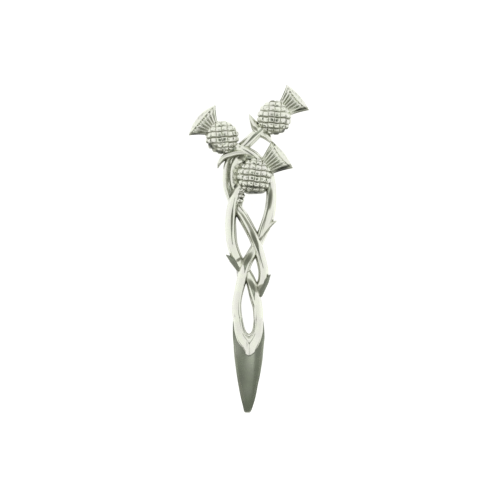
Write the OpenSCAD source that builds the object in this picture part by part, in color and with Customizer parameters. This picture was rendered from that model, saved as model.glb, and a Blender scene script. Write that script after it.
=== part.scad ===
// Kilt pin: three thistles on plaited stems that close in a loop on a short blade.
// It lies on its back: +Z is the worn front, +Y runs from the blade's point to the
// thistles, and z = 0 is the surface that the fastening's two feet rest on.

/* [Overall] */
// Length from the blade's point to the highest corner of the top thistle
pin_length = 95; // [88:1:102]
// Width that the side shares in the tables below are taken from
pin_width = 35; // [33:0.5:37]

/* [Stems] */
// Width of a plain stem
stem_w = 3; // [2.7:0.05:3.3]
// Height of a plain stem above the flat back
stem_h = 2.3; // [1.9:0.1:2.8]
// How far a stem stands higher where it crosses over another
over_rise = 1.2; // [0.6:0.1:1.6]

/* [Thistles] */
// Diameter of a thistle's globe, seen from the front
globe_d = 10; // [9:0.1:10.8]
// Height of a globe's front above its widest plane
globe_rise = 4.3; // [3.4:0.1:5]
// Height of the widest plane of the rear globes above the flat back
globe_seat = 1.6; // [1:0.1:2.2]
// How far the front thistle stands in front of the two others
front_lift = 2; // [1.4:0.1:2.6]
// Depth of the grooves between the bracts
bract_groove = 0.4; // [0.2:0.05:0.5]
// Bracts counted once around a globe
bract_starts = 12; // [10:1:14]
// Height of a tuft at its neck above its own back
tuft_h = 3.3; // [2.6:0.1:3.8]
// Thickness of a tuft along its two sides
tuft_edge = 1; // [0.7:0.1:1.4]
// Flutes across a tuft
flutes = 8; // [6:1:10]
// Depth of a flute
flute_depth = 0.35; // [0.2:0.05:0.5]
// Width of the slanted lip that ends a tuft
lip_w = 1.3; // [0.8:0.1:1.8]

/* [Blade] */
// Greatest width of the blade
blade_w = 9.3; // [8.6:0.1:10]
// Height of the blade's ridge above the flat back
blade_h = 1.8; // [1.4:0.1:2.2]
// Width of the bevel along the blade's edges
bevel_w = 0.6; // [0.3:0.1:0.9]

/* [Fastening] */
// Gap between the surface it lies on and the flat back of the casting
standoff = 4.2; // [3.4:0.1:5]
// Diameter of the pin wire
wire_d = 0.8; // [0.6:0.05:1]
// Diameter of the hinge barrel and of the catch
barrel_d = 2.6; // [2:0.1:3]
// Length of the hinge barrel, across the pin
barrel_l = 11; // [9:0.1:11.6]
// Thickness of the two soldered feet
foot_t = 0.8; // [0.5:0.1:1.1]
// Length of the hinge foot, along the pin
hinge_foot_l = 3.8; // [3:0.1:4.4]
// Length of the catch, along the pin
catch_l = 3; // [2:0.1:4]
// Diameter of the catch's round foot
catch_foot_d = 4.4; // [3:0.1:5]
// Width of the flats that the barrel and the catch rest on
rest_w = 1.4; // [1:0.1:1.8]
// Solder gap between the feet and the flat back
solder = 0.05; // [0.02:0.01:0.1]

/* [Hidden] */

// In every table, "side" is a share of pin_width to the right of the blade's middle,
// and "up" is a share of pin_length above the blade's point.
SIDE = 0;
UP = 1;
function place(row) = [row[SIDE] * pin_width, row[UP] * pin_length];

// Thistles: side, up, the way it points in degrees, and then as shares of the globe's
// radius its own size, the reach and spread of the tuft's corners and the tuft's crown.
top_thistle = [0.219, 0.900, 41, 1.01, 1.80, 0.98, 1.96, 0];
left_thistle = [-0.213, 0.840, 139, 0.98, 1.57, 1.20, 1.92, 0];
front_thistle = [0.056, 0.722, 38, 1.05, 1.93, 0.96, 2.08, 1];
AIM = 2;
SIZE = 3;
REACH = 4;
SPREAD = 5;
CROWN = 6;
LIFT = 7;

// Stems: side, up, width as a share of stem_w, and rise as a share of over_rise.
top_stem = [
    [0.219, 0.900, 1.00, 0.0],
    [0.100, 0.858, 0.90, 0.2],
    [0.054, 0.844, 1.00, 0.2],
    [-0.020, 0.818, 1.05, 0.0],
    [-0.095, 0.790, 1.20, 0.0],
    [-0.138, 0.758, 1.35, 0.0],
    [-0.146, 0.725, 1.50, 0.2],
    [-0.146, 0.690, 1.40, 0.2],
    [-0.128, 0.655, 1.10, 0.0],
    [-0.087, 0.622, 1.05, 0.0],
    [-0.041, 0.598, 1.05, 0.2],
    [0.020, 0.558, 1.05, 0.7],
    [0.058, 0.528, 1.03, 1.0],
    [0.083, 0.500, 1.03, 1.0],
    [0.112, 0.463, 1.00, 0.4],
    [0.129, 0.430, 1.00, 0.1],
    [0.119, 0.400, 0.95, 0.0],
    [0.087, 0.378, 0.90, 0.0],
    [0.054, 0.357, 0.80, 0.0],
];
left_stem = [
    [-0.213, 0.840, 1.00, 0.0],
    [-0.100, 0.808, 1.00, 0.4],
    [-0.037, 0.800, 1.00, 1.0],
    [0.037, 0.787, 1.00, 0.8],
    [0.108, 0.763, 1.00, 0.2],
    [0.158, 0.738, 1.00, 0.0],
    [0.187, 0.700, 1.00, 0.0],
    [0.194, 0.665, 1.00, 0.2],
    [0.189, 0.632, 1.05, 0.2],
    [0.174, 0.600, 1.10, 0.2],
    [0.140, 0.562, 1.10, 0.1],
    [0.087, 0.520, 1.00, 0.0],
    [0.029, 0.482, 1.00, 0.2],
    [-0.008, 0.458, 1.05, 0.7],
    [-0.035, 0.430, 1.05, 1.0],
    [-0.054, 0.400, 0.98, 0.5],
    [-0.073, 0.372, 0.90, 0.2],
    [-0.090, 0.340, 0.85, 0.2],
    [-0.096, 0.308, 0.90, 0.3],
    [-0.091, 0.276, 0.98, 0.3],
    [-0.073, 0.243, 1.00, 0.3],
    [-0.038, 0.214, 0.95, 0.2],
    [0.000, 0.196, 0.72, 0.0],
    [0.016, 0.184, 0.35, -0.3],
];
front_stem = [
    [0.056, 0.722, 1.00, 1.0],
    [-0.064, 0.690, 1.00, 1.6],
    [-0.102, 0.662, 1.02, 1.4],
    [-0.128, 0.630, 1.02, 0.7],
    [-0.140, 0.598, 1.05, 0.3],
    [-0.143, 0.562, 1.05, 0.2],
    [-0.135, 0.525, 1.05, 0.2],
    [-0.113, 0.493, 1.05, 0.1],
    [-0.083, 0.468, 1.00, 0.0],
    [-0.050, 0.448, 1.00, 0.0],
    [-0.012, 0.427, 1.00, 0.0],
    [0.021, 0.405, 1.00, 0.2],
    [0.051, 0.378, 1.00, 0.8],
    [0.070, 0.350, 0.98, 0.9],
    [0.083, 0.322, 0.92, 0.4],
    [0.088, 0.291, 0.92, 0.3],
    [0.087, 0.262, 0.98, 0.3],
    [0.075, 0.233, 1.00, 0.3],
    [0.050, 0.209, 0.95, 0.2],
    [0.026, 0.193, 0.68, 0.0],
    [0.019, 0.181, 0.33, -0.3],
];

// The sickle-shaped leaf over the top stem, from its tip, with the stems' columns.
sickle_leaf = [
    [-0.250, 0.746, 0.10, -0.8],
    [-0.235, 0.762, 0.55, 0.2],
    [-0.200, 0.777, 0.80, 0.6],
    [-0.140, 0.785, 0.85, 0.9],
    [-0.080, 0.790, 0.75, 1.0],
    [-0.020, 0.788, 0.60, 0.8],
];

// Thorns, each the hull from its tip to its root: side, up, width as a share of
// stem_w, and height as a share of stem_h. After the five long ones come the low web
// under the sickle leaf and four small knobs.
thorns = [
    [[0.010, 0.911, 0.12, 0.48], [0.045, 0.884, 0.75, 0.77], [0.084, 0.862, 0.95, 0.97]],
    [[0.238, 0.584, 0.12, 0.62], [0.190, 0.582, 0.70, 0.86], [0.136, 0.545, 0.60, 0.91]],
    [[-0.178, 0.481, 0.12, 0.58], [-0.126, 0.466, 0.75, 0.88], [-0.088, 0.440, 0.70, 1.03]],
    [[0.185, 0.421, 0.12, 0.61], [0.150, 0.399, 0.65, 0.93], [0.108, 0.362, 0.60, 1.06]],
    [[0.178, 0.830, 0.35, 1.38], [0.140, 0.848, 0.85, 1.22], [0.096, 0.852, 0.65, 1.02]],
    [[-0.118, 0.738, 1.15, 0.55], [-0.048, 0.774, 1.55, 0.60]],
    [[-0.046, 0.657, 0.40, 1.55], [-0.075, 0.664, 0.70, 1.60]],
    [[-0.051, 0.640, 0.36, 1.30], [-0.085, 0.645, 0.60, 1.45]],
    [[-0.028, 0.668, 0.50, 1.70], [-0.050, 0.680, 0.90, 1.80]],
    [[-0.062, 0.628, 0.30, 1.12], [-0.090, 0.632, 0.50, 1.33]],
];

// Blade: up, side of the middle line, half width as a share of half of blade_w, and
// ridge height as a share of blade_h.
blade_rows = [
    [0.000, -0.004, 0.14, 0.45],
    [0.005, -0.003, 0.22, 0.55],
    [0.020, 0.000, 0.31, 0.66],
    [0.049, 0.002, 0.47, 0.78],
    [0.085, 0.002, 0.61, 0.86],
    [0.130, 0.005, 0.78, 0.92],
    [0.178, 0.006, 0.90, 0.97],
    [0.232, 0.007, 0.99, 1.00],
    [0.268, 0.004, 0.97, 0.95],
    [0.300, -0.001, 0.90, 0.80],
];

// Every feature is drawn a little below the flat back, which one cut then makes.
BELOW = -0.2;

// A stem's section on its flat back: across as a share of half its width, and up as a
// share of its height. The top is half an ellipse, the sides draw in to the back.
SECTION_STEPS = 7;
SIDE_UP = 0.32;
BACK_IN = 0.8;
stem_section = concat(
    [for (i = [0:SECTION_STEPS]) let (a = 180 - 180 * i / SECTION_STEPS)
        [cos(a), SIDE_UP + (1 - SIDE_UP) * sin(a)]],
    [[BACK_IN, BELOW], [-BACK_IN, BELOW]]);

// A smooth curve through the rows of a table, and the closed solid through rings of
// points. Each ring has an even count, and its ends are closed by strips across it.
PATH_STEPS = 2;
function between(a, b, c, d, t) = b + t * ((c - a) / 2
    + t * ((2 * a - 5 * b + 4 * c - d) / 2 + t * (3 * b - a - 3 * c + d) / 2));
function curve(rows) = let (last = len(rows) - 1) concat(
    [for (i = [0:last - 1], k = [0:PATH_STEPS - 1])
        between(rows[max(i - 1, 0)], rows[i], rows[i + 1], rows[min(i + 2, last)], k / PATH_STEPS)],
    [rows[last]]);

module loft(rings) {
    n = len(rings[0]);
    top = (len(rings) - 1) * n;
    polyhedron(
        points = [for (ring = rings, p = ring) p],
        faces = concat(
            [for (i = [0:n / 2 - 2]) each [[i, i + 1, n - 2 - i], [i, n - 2 - i, n - 1 - i]]],
            [for (i = [0:n / 2 - 2])
                each [[top + n - 2 - i, top + i + 1, top + i], [top + n - 1 - i, top + n - 2 - i, top + i]]],
            [for (j = [0:len(rings) - 2], i = [0:n - 1]) let (a = j * n + i, b = j * n + (i + 1) % n)
                each [[a, a + n, b], [b, a + n, b + n]]]),
        convexity = 8);
}

module stem(rows) {
    path = curve([for (r = rows) concat(place(r), [r[2] * stem_w / 2, stem_h + r[3] * over_rise])]);
    last = len(path) - 1;
    loft([for (i = [0:last]) let (
            run = path[min(i + 1, last)] - path[max(i - 1, 0)],
            across = [run.y, -run.x] / norm([run.x, run.y]))
        [for (p = stem_section)
            [path[i].x + across.x * p.x * path[i][2], path[i].y + across.y * p.x * path[i][2],
                p.y * path[i][3]]]]);
}

// A globe turned about its own axis, +X. Two families of spiral grooves cut its skin
// into diamond bracts, GRID points to a bract.
GRID = 4;
function pillow(share) = 1 - pow(abs(2 * (share - floor(share)) - 1), 3);
module globe(radius, rise) {
    around = bract_starts * GRID;
    rows = around / 2;
    step = 360 / around;
    points = concat([[-radius, 0, 0]],
        [for (j = [1:rows - 1], i = [0:around - 1]) let (
                lat = j * step - 90, lon = i * step,
                raised = min(pillow((i + j) / GRID), pillow((i - j) / GRID)),
                r = 1 - bract_groove * (1 - raised) / radius)
            [radius * r * sin(lat), radius * r * cos(lat) * cos(lon), rise * r * cos(lat) * sin(lon)]],
        [[radius, 0, 0]]);
    tip = len(points) - 1;
    polyhedron(points, concat(
        [for (i = [0:around - 1]) let (k = (i + 1) % around) [0, 1 + i, 1 + k]],
        [for (j = [0:rows - 3], i = [0:around - 1]) let (
                k = (i + 1) % around,
                a = 1 + j * around + i, b = 1 + j * around + k, c = b + around, d = a + around)
            each (i + j + 2) % GRID == 0 ? [[d, b, a], [d, c, b]] : [[c, b, a], [d, c, a]]],
        [for (i = [0:around - 1]) let (k = (i + 1) % around, a = 1 + (rows - 2) * around)
            [tip, a + k, a + i]]), convexity = 6);
}

// A tuft along +X, from its neck inside the globe to its rim, on its own flat back.
TUFT_RINGS = 5;
NECK_AT = 0.75;
NECK_W = 0.5;
function crown_at(row, s) = row[REACH] + (row[CROWN] - row[REACH]) * (1 - s * s);
module tuft(row, radius) {
    points = flutes * 2;
    loft([for (j = [0:TUFT_RINGS]) let (t = j / TUFT_RINGS) concat(
        [for (i = [0:points]) let (
                s = 1 - 2 * i / points,
                end = crown_at(row, s) * radius - lip_w * (1 - s * s),
                groove = i % 2 == 0 && abs(s) < 1 ? flute_depth * sin(150 * t + 15) : 0)
            [NECK_AT * radius + t * (end - NECK_AT * radius),
                s * radius * (NECK_W + (row[SPREAD] - NECK_W) * pow(t, 1.3)),
                tuft_edge + (tuft_h - tuft_edge) * (1 - 0.25 * t) * sqrt(1 - s * s) - groove]],
        [for (i = [points:-1:0]) let (
                s = 1 - 2 * i / points,
                end = crown_at(row, s) * radius)
            [NECK_AT * radius + t * (end - NECK_AT * radius),
                s * radius * (NECK_W + (row[SPREAD] - NECK_W) * pow(t, 1.3)),
                row[LIFT] > 0 ? 0 : BELOW]])]);
}

module thistle(row) {
    radius = globe_d / 2 * row[SIZE];
    translate(concat(place(row), [row[LIFT] * front_lift]))
        rotate(row[AIM]) {
            translate([0, 0, globe_seat]) globe(radius, globe_rise * row[SIZE]);
            tuft(row, radius);
        }
}

module stud(row) {
    translate(concat(place(row), [BELOW]))
        cylinder(h = row[3] * stem_h - BELOW, r1 = row[2] * stem_w / 2, r2 = row[2] * stem_w / 5, $fn = 10);
}
module thorn(rows) {
    hull() for (row = rows) stud(row);
}

module blade() {
    bevel = bevel_w / (blade_w / 2);
    loft([for (r = blade_rows) let (
            half = r[2] * blade_w / 2, h = r[3] * blade_h, mid = r[1] * pin_width, y = r[0] * pin_length)
        [for (p = [[-1, 0.4], [bevel - 1, 0.72], [0.12, 1], [1 - bevel, 0.72], [1, 0.4],
                [0.92, BELOW], [0, BELOW], [-0.92, BELOW]])
            [mid + p.x * half, y, p.y * h]]]);
}
// The eye of the loop is open between the middle lines of its two stems, from the
// blade's top down to its own pointed foot.
eye_top = 0.37;
eye_foot = [0.002, 0.227];
function beside_eye(rows) = [for (r = rows) if (r[UP] < eye_top && r[UP] > eye_foot[UP] + 0.01) place(r)];
module eye() {
    left = beside_eye(left_stem);
    right = beside_eye([for (i = [len(front_stem) - 1:-1:0]) front_stem[i]]);
    translate([0, 0, -blade_h]) linear_extrude(3 * blade_h) polygon(concat(left, [place(eye_foot)], right));
}

// The corners of the tufts that end the pin on the left, on the right and at the top
// give the middle of its box, which is the origin.
function corner(row, s) = let (
        r = globe_d / 2 * row[SIZE], x = row[REACH] * r, y = s * row[SPREAD] * r)
    place(row) + [x * cos(row[AIM]) - y * sin(row[AIM]), x * sin(row[AIM]) + y * cos(row[AIM])];
middle = [(corner(left_thistle, 1).x + corner(top_thistle, -1).x) / 2, corner(top_thistle, 1).y / 2];

module casting() {
    color([0.80, 0.80, 0.76])
        translate([-middle.x, -middle.y, standoff])
            intersection() {
                union() {
                    difference() {
                        blade();
                        eye();
                    }
                    stem(top_stem);
                    stem(left_stem);
                    stem(front_stem);
                    stem(sickle_leaf);
                    for (rows = thorns) thorn(rows);
                    for (row = [top_thistle, left_thistle, front_thistle]) thistle(row);
                }
                // The flat back of the casting
                translate([-pin_length, -pin_length, 0]) cube([2 * pin_length, 3 * pin_length, pin_length]);
            }
}

// The fastening's places, in the tables' shares: the hinge barrel's middle, the wire's
// start on the barrel, the catch, and the end of the hinge foot's tongue.
hinge = [-0.040, 0.712];
wire_start = [-0.131, 0.712];
catch = [-0.044, 0.196];
tongue = [0.054, 0.645];
tongue_w = 1.7;
module brooch_pin() {
    r = barrel_d / 2;
    foot_z = standoff - solder - foot_t;
    a = place(wire_start);
    b = place(catch);
    color([0.66, 0.67, 0.68])
        translate([-middle.x, -middle.y, 0]) {
            // Hinge: a barrel across the pin on a soldered foot, with a round tongue
            translate(place(hinge)) {
                translate([-barrel_l / 2, 0, r]) rotate([0, 90, 0]) cylinder(r = r, h = barrel_l, $fn = 48);
                translate([-barrel_l / 2, -rest_w / 2, 0]) cube([barrel_l, rest_w, standoff - solder]);
                translate([-barrel_l / 2, -hinge_foot_l / 2, foot_z]) cube([barrel_l, hinge_foot_l, foot_t]);
            }
            translate(concat(place(tongue), [foot_z])) cylinder(d = tongue_w, h = foot_t, $fn = 32);
            translate([place(tongue).x - tongue_w / 2, place(tongue).y, foot_z])
                cube([tongue_w, place(hinge).y - place(tongue).y, foot_t]);
            // Pin wire, from the barrel into the catch
            translate(concat(a, [r]))
                rotate([0, 90, atan2(b.y - a.y, b.x - a.x)])
                    cylinder(d = wire_d, h = norm(b - a), $fn = 32);
            // Catch: a short barrel along the pin on a round soldered foot
            translate(place(catch)) {
                translate([0, catch_l / 2, r]) rotate([90, 0, 0]) cylinder(r = r, h = catch_l, $fn = 48);
                translate([-rest_w / 2, -catch_l / 2, 0]) cube([rest_w, catch_l, standoff - solder]);
                translate([0, 0, foot_z]) cylinder(d = catch_foot_d, h = foot_t, $fn = 48);
            }
        }
}

casting();
brooch_pin();
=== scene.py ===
import math

import bmesh
import bpy
from mathutils import Matrix, Vector
from mathutils.bvhtree import BVHTree


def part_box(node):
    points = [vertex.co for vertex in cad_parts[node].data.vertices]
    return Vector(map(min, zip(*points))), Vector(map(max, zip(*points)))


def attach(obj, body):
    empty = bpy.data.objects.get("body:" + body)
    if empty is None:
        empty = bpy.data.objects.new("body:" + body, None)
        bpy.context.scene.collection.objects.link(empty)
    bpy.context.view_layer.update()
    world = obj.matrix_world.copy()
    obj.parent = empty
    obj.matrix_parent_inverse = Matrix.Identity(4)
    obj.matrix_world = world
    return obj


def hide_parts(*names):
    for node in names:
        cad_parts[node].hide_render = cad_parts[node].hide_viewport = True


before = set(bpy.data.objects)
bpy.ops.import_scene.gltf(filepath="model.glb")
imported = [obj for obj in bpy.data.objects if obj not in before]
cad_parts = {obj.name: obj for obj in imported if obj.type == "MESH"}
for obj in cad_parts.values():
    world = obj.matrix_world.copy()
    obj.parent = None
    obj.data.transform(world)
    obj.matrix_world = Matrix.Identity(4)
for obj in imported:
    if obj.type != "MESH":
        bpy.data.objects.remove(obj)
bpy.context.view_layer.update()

# ---------------------------------------------------------------------------------
# The studio: a white table in a round tent of thin white cloth that is lit from outside.
# The camera looks straight down through a gap in the top of the tent, and polished
# metal mirrors that gap as a soft grey patch.

DISTANCE = 0.9
PIXEL = 0.0002896
FRAME_WIDTH = 500 * PIXEL
CAMERA_X, CAMERA_Y = 0.00029, -0.00043
MID_HEIGHT = 0.006
lens = bpy.data.cameras.new("camera")
lens.sensor_width = 36
lens.lens = lens.sensor_width * DISTANCE / FRAME_WIDTH
lens.clip_start = 0.01
camera = bpy.data.objects.new("camera", lens)
camera.location = (CAMERA_X, CAMERA_Y, DISTANCE + MID_HEIGHT)
bpy.context.collection.objects.link(camera)
bpy.context.scene.camera = camera
bpy.context.scene.view_settings.view_transform = "Standard"


class Amount:
    """One output of a node. Sums of amounts add the Math nodes that they need."""

    def __init__(self, sheet, socket):
        self.sheet, self.socket = sheet, socket

    def maths(self, operation, *others):
        return self.sheet.add(
            "ShaderNodeMath", {"operation": operation}, dict(enumerate(others)))

    def __add__(self, other):
        return self.maths("ADD", self, other)

    def __sub__(self, other):
        return self.maths("SUBTRACT", self, other)

    def __mul__(self, other):
        return self.maths("MULTIPLY", self, other)

    def __pow__(self, other):
        return self.maths("POWER", self, other)

    def __radd__(self, other):
        return self.maths("ADD", other, self)

    def __rsub__(self, other):
        return self.maths("SUBTRACT", other, self)

    def __rmul__(self, other):
        return self.maths("MULTIPLY", other, self)

    def above(self, other):
        """The larger of the two."""
        return self.maths("MAXIMUM", self, other)

    def over(self, low, high):
        """0 under low and 1 over high, with a soft step between them."""
        return self.sheet.add(
            "ShaderNodeMapRange", {"interpolation_type": "SMOOTHSTEP"},
            {"Value": self, "From Min": low, "From Max": high})


class Sheet:
    """The nodes of one finish, or of the tent."""

    def __init__(self, tree):
        self.tree = tree
        tree.nodes.clear()

    def add(self, kind, settings=None, sockets=None, out=0):
        """Adds one node, and gives the output that is asked for."""
        node = self.tree.nodes.new(kind)
        for name, value in (settings or {}).items():
            setattr(node, name, value)
        for name, value in (sockets or {}).items():
            if isinstance(value, Amount):
                self.tree.links.new(value.socket, node.inputs[name])
            else:
                node.inputs[name].default_value = value
        return Amount(self, node.outputs[out]) if len(node.outputs) else None

    def blend(self, share, one, other):
        """A colour between two others."""
        return self.add(
            "ShaderNodeMix", {"data_type": "RGBA"}, {0: share, 6: one, 7: other}, out=2)


TENT_WHITE = (1.0, 1.0, 0.975, 1)
TENT_SHADE = (0.86, 0.86, 0.83, 1)
GAP_GREY = (0.125, 0.14, 0.11, 1)
LENS_GREY = (0.66, 0.70, 0.62, 1)
LOW_GREY = (0.07, 0.075, 0.05, 1)
# The gap lies a little towards the near side and is longer from near to far than wide
GAP_OFF = 0.08
GAP_SQUASH = 0.64
GAP_EDGE = (0.26, 0.60)
GAP_FLOOR = (0.0, 0.2)
GLINT_SIDES = (0.002, 0.045)
GLINT_END = (-0.16, 0.26)
NEAR_EDGE, NEAR_TOP = (0.10, 0.60), (0.10, 0.50)
FAR_EDGE, FAR_TOP = (0.45, 0.85), (0.02, 0.30)
FAR_SHARE = 0.5
CLOTH_SHADE = (0.35, 0.95)
TENT_LIGHT = 1.1
tent = bpy.data.worlds.new("tent")
tent.use_nodes = True
bpy.context.scene.world = tent
sheet = Sheet(tent.node_tree)
way = sheet.add("ShaderNodeTexCoord")
way = sheet.add("ShaderNodeVectorMath", {"operation": "NORMALIZE"}, {0: way})
across = sheet.add("ShaderNodeSeparateXYZ", None, {0: way}, out=0)
ahead = sheet.add("ShaderNodeSeparateXYZ", None, {0: way}, out=1)
height = sheet.add("ShaderNodeSeparateXYZ", None, {0: way}, out=2)
from_gap = (across * across + (ahead + GAP_OFF) * (ahead + GAP_OFF) * GAP_SQUASH) ** 0.5
gap = (1 - from_gap.over(*GAP_EDGE)) * height.over(*GAP_FLOOR)
glint = (1 - (across * across).over(*GLINT_SIDES)) * ahead.over(*GLINT_END)
near_side = (0.0 - ahead).over(*NEAR_EDGE) * (1 - height.over(*NEAR_TOP))
far_side = ahead.over(*FAR_EDGE) * (1 - height.over(*FAR_TOP)) * FAR_SHARE
cloth = sheet.blend(height.over(*CLOTH_SHADE), TENT_WHITE, TENT_SHADE)
cloth = sheet.blend(near_side.above(far_side), cloth, LOW_GREY)
cloth = sheet.blend(gap, cloth, sheet.blend(glint, GAP_GREY, LENS_GREY))
light = sheet.add("ShaderNodeBackground", None, {"Color": cloth, "Strength": TENT_LIGHT})
sheet.add("ShaderNodeOutputWorld", None, {"Surface": light})

TABLE_SIZE = 2.0
UNDER_THE_PIN = -0.00002
table_paint = bpy.data.materials.new("table_white")
table_paint.use_nodes = True
sheet = Sheet(table_paint.node_tree)
paint = sheet.add("ShaderNodeBsdfPrincipled", None, {
    "Base Color": (0.36, 0.36, 0.355, 1), "Roughness": 0.9,
    "Emission Color": (1, 1, 0.99, 1), "Emission Strength": 0.86})
sheet.add("ShaderNodeOutputMaterial", None, {"Surface": paint})
bm = bmesh.new()
bmesh.ops.create_grid(
    bm, x_segments=1, y_segments=1, size=TABLE_SIZE,
    matrix=Matrix.Translation((0, 0, UNDER_THE_PIN)))
table_mesh = bpy.data.meshes.new("table")
bm.to_mesh(table_mesh)
bm.free()
table = bpy.data.objects.new("table", table_mesh)
table_mesh.materials.append(table_paint)
bpy.context.collection.objects.link(table)

# ---------------------------------------------------------------------------------
# The blade: the lower third of the pewter casting, a flat-backed tapering tongue with
# a soft ridge, a narrow filed bevel along both edges and a rounded point. Everything
# of the casting is measured here in millimetres from the blade's point, on its back.

MM = 0.001
PIN_LENGTH = 95
PIN_WIDTH = 35
BELOW = -0.25
low_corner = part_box("casting")[0]
BACK = low_corner[2] / MM
POINT_X = -0.327
POINT = Vector((POINT_X, low_corner[1] / MM))
features = []


def at(side, up):
    """A place on the back, from shares of the pin's width and length."""
    return Vector((side * PIN_WIDTH, up * PIN_LENGTH))


def between(a, b, c, d, t):
    """A smooth run from b to c, past a and d."""
    bend = (2 * a - 5 * b + 4 * c - d) / 2
    return b + t * ((c - a) / 2 + t * (bend + t * (3 * b - a - 3 * c + d) / 2))


def smooth_rows(rows, steps):
    """The rows of a table with a smooth curve through them."""
    last = len(rows) - 1
    drawn = []
    for i in range(last):
        near = [rows[max(i - 1, 0)], rows[i], rows[i + 1], rows[min(i + 2, last)]]
        for k in range(steps):
            drawn.append([between(*column, k / steps) for column in zip(*near)])
    return drawn + [list(rows[last])]


def loft(rings):
    """Draws the first ring out through all the others, and closes both ends."""
    bm = bmesh.new()
    ring = [bm.verts.new(p) for p in rings[0]]
    edges = [bm.edges.new(pair) for pair in zip(ring, ring[1:] + ring[:1])]
    bmesh.ops.contextual_create(bm, geom=edges)
    for places in rings[1:]:
        drawn = bmesh.ops.extrude_edge_only(bm, edges=edges)["geom"]
        found = {tuple(v.co): v for v in drawn if isinstance(v, bmesh.types.BMVert)}
        edges = [e for e in drawn if isinstance(e, bmesh.types.BMEdge)
                 and all(v in drawn for v in e.verts)]
        ring = [found[tuple(v.co)] for v in ring]
        for v, p in zip(ring, places):
            v.co = p
    bmesh.ops.contextual_create(bm, geom=edges)
    bmesh.ops.recalc_face_normals(bm, faces=bm.faces)
    return bm


def keep_feature(bm, name):
    """Puts a feature aside until all those of its piece are run together."""
    mesh = bpy.data.meshes.new(name)
    bm.to_mesh(mesh)
    bm.free()
    feature = bpy.data.objects.new(name, mesh)
    bpy.context.collection.objects.link(feature)
    features.append(feature)


BLADE_W = 9.3
BLADE_H = 1.8
RIM_W = 0.6
# Up, side of the middle line, width as a share of BLADE_W, height of the ridge as a
# share of BLADE_H, side of the ridge, and how many degrees its left flat slopes
blade_rows = [
    [0.000, -0.004, 0.14, 0.72, 0.000, 7.5],
    [0.005, -0.003, 0.22, 0.79, 0.003, 7.5],
    [0.020, 0.000, 0.31, 0.89, 0.010, 7.5],
    [0.049, 0.002, 0.47, 0.965, 0.018, 7.5],
    [0.085, 0.002, 0.61, 0.99, 0.029, 7.5],
    [0.110, 0.004, 0.71, 1.00, 0.035, 7.5],
    [0.135, 0.005, 0.79, 0.99, 0.038, 7.5],
    [0.155, 0.006, 0.85, 0.96, 0.040, 8],
    [0.172, 0.006, 0.89, 0.92, 0.041, 9],
    [0.190, 0.006, 0.92, 0.87, 0.041, 10.5],
    [0.210, 0.007, 0.95, 0.82, 0.040, 11.5],
    [0.232, 0.007, 0.99, 0.79, 0.038, 11.5],
    [0.268, 0.004, 0.97, 0.78, 0.035, 11],
    [0.300, -0.001, 0.90, 0.70, 0.030, 11],
]
RIGHT_SLOPE = 7.5
RIDGE_ROUND = (3.0, 0.7)
# As shares of half the width: the widest that the rim gets, how far to the right the
# ridge gets, and where the back's corners are
RIM_LIMIT = 0.3
RIDGE_LIMIT = 0.42
BACK_CORNER = 0.92
# The rim's fall from the flats, its least height as a share of the ridge's, how much of
# its own width it slopes over, and the last small fall at the blade's edge
RIM_FALL = 0.2
RIM_LEAST = 0.4
RIM_SPREAD = 0.96
EDGE_FALL = 0.03
FLAT_STEPS = 10
BLADE_STEPS = 6
rings = []
for up, side, half, tall, ridge_side, left_slope in smooth_rows(blade_rows, BLADE_STEPS):
    mid = at(side, up)
    half *= BLADE_W / 2
    rim = min(RIM_W, RIM_LIMIT * half)
    ridge = min(at(ridge_side, up).x - mid.x, RIDGE_LIMIT * half)
    flats = []
    for k in range(2 * FLAT_STEPS + 1):
        x = (half - rim) * (k / FLAT_STEPS - 1)
        soft = RIDGE_ROUND[x > ridge]
        slope = math.radians(RIGHT_SLOPE if x > ridge else left_slope)
        fall = math.tan(slope) * (math.hypot(x - ridge, soft) - soft)
        flats.append((x, tall * BLADE_H - fall))
    least = RIM_LEAST * tall * BLADE_H
    left, right = [max(z - RIM_FALL, least) for z in (flats[0][1], flats[-1][1])]
    inner = half - RIM_SPREAD * rim
    ring = [(-half, left - EDGE_FALL), (-inner, left)] + flats
    ring += [(inner, right), (half, right - EDGE_FALL)]
    ring += [(BACK_CORNER * half, BELOW), (0, BELOW), (-BACK_CORNER * half, BELOW)]
    rings.append([(mid.x + x, mid.y, z) for x, z in ring])
keep_feature(loft(rings), "blade")
blade = features.pop()

# ---------------------------------------------------------------------------------
# The stems: the three thistles' stalks, cast in one with the blade. They pass over and
# under each other like a plait, and two of them close in a loop on the blade. Long
# leaves and the bridge and collar around the front thistle are cast the same way.

STEM_W = 3
STEM_H = 2.3
OVER_RISE = 1.2
SLOPE = 21
GROOVE_W = 0.22
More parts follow.
